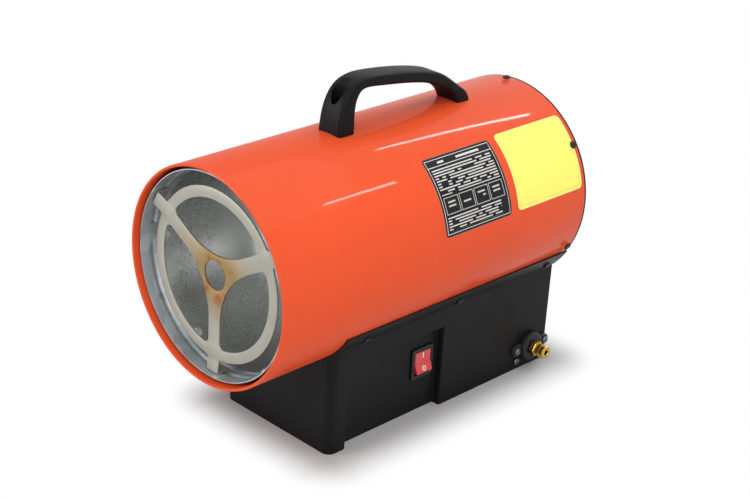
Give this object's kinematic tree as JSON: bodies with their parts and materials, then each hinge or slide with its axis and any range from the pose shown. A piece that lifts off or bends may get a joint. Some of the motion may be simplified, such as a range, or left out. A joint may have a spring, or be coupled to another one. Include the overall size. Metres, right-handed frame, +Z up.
{
  "type": "forced air heater",
  "caption": "gas fired forced air heater: red steel drum with a guarded hot air outlet, carry handle and rear fan on a black sheet steel base",
  "frame": {"origin": "middle of the footprint's bounding box, on the ground", "axes": "+Z up; the drum's axis runs along Y and the hot air leaves towards -Y; +X is the side with the switch and the gas inlet"},
  "size_m": [0.19, 0.3722, 0.308],
  "materials": {
    "paint_red": "gloss orange red",
    "black_paint": "satin black powder coat",
    "black_plastic": "satin moulded",
    "galvanised": "galvanised spangle",
    "guard_steel": "heat tinted stamped steel",
    "spun_steel": "spun, satin",
    "brass": "turned",
    "copper": "drawn",
    "aluminium": "cast, satin",
    "screw_zinc": "zinc plated",
    "screw_black": "black oxide",
    "switch_red": "translucent red",
    "ceramic": "glazed",
    "rubber": "matt"
  },
  "bodies": {
    "heater": {"outer_casing": "paint_red", "combustion_liner": "galvanised", "outlet_guard": "guard_steel", "burner_cup": "spun_steel", "cup_rivet_1": "aluminium", "cup_rivet_2": "aluminium", "cup_rivet_3": "aluminium", "cup_rivet_4": "aluminium", "cup_rivet_5": "aluminium", "cup_rivet_6": "aluminium", "burner_head": "spun_steel", "mixing_tube": "galvanised", "gas_injector": "brass", "burner_bracket": "galvanised", "ignition_electrode": "ceramic", "thermocouple": "copper", "overheat_thermostat": "aluminium", "motor": "galvanised", "rear_grille": "black_plastic", "grille_screw_1": "screw_black", "grille_screw_2": "screw_black", "grille_screw_3": "screw_black", "grille_screw_4": "screw_black", "grille_screw_5": "screw_black", "motor_screw_1": "screw_zinc", "motor_screw_2": "screw_zinc", "motor_screw_3": "screw_zinc", "handle": "black_plastic", "handle_screw_1": "screw_zinc", "handle_screw_2": "screw_zinc", "base_housing": "black_paint", "base_floor": "black_paint", "base_rear_plate": "black_paint", "saddle_screw_1": "screw_black", "saddle_screw_2": "screw_black", "saddle_screw_3": "screw_black", "saddle_screw_4": "screw_black", "saddle_screw_5": "screw_black", "saddle_screw_6": "screw_black", "floor_screw_1": "screw_zinc", "floor_screw_2": "screw_zinc", "cable_gland": "black_plastic", "terminal_block": "ceramic", "switch_bezel": "black_plastic", "inlet_flange": "black_plastic", "inlet_screw_1": "screw_zinc", "inlet_screw_2": "screw_zinc", "inlet_nipple": "brass", "gas_valve": "aluminium", "piezo_igniter": "black_plastic", "gas_pipe": "copper", "thermocouple_lead": "copper", "ignition_lead": "rubber", "motor_lead": "rubber"},
    "fan": {"fan_impeller": "aluminium", "fan_shaft": "screw_zinc", "fan_nut": "screw_zinc"},
    "rocker": {"switch_rocker": "switch_red"},
    "valve_push": {"valve_button": "switch_red"},
    "piezo_push": {"piezo_button": "black_plastic"}
  },
  "joints": [
    {"name": "fan_spin", "type": "hinge", "parent": "heater", "child": "fan", "pos_m": [0, 0.10485, 0.168], "axis": [0, 1, 0], "continuous": true},
    {"name": "switch_rock", "type": "hinge", "parent": "heater", "child": "rocker", "pos_m": [0.055, 0.01685, 0.048], "axis": [0, 1, 0], "range_deg": [0, 20]},
    {"name": "valve_press", "type": "slide", "parent": "heater", "child": "valve_push", "axis": [1, 0, 0], "range_m": [0, 0.005], "stiffness_N_per_m": 500},
    {"name": "piezo_press", "type": "slide", "parent": "heater", "child": "piezo_push", "axis": [1, 0, 0], "range_m": [0, 0.005], "stiffness_N_per_m": 700}
  ]
}
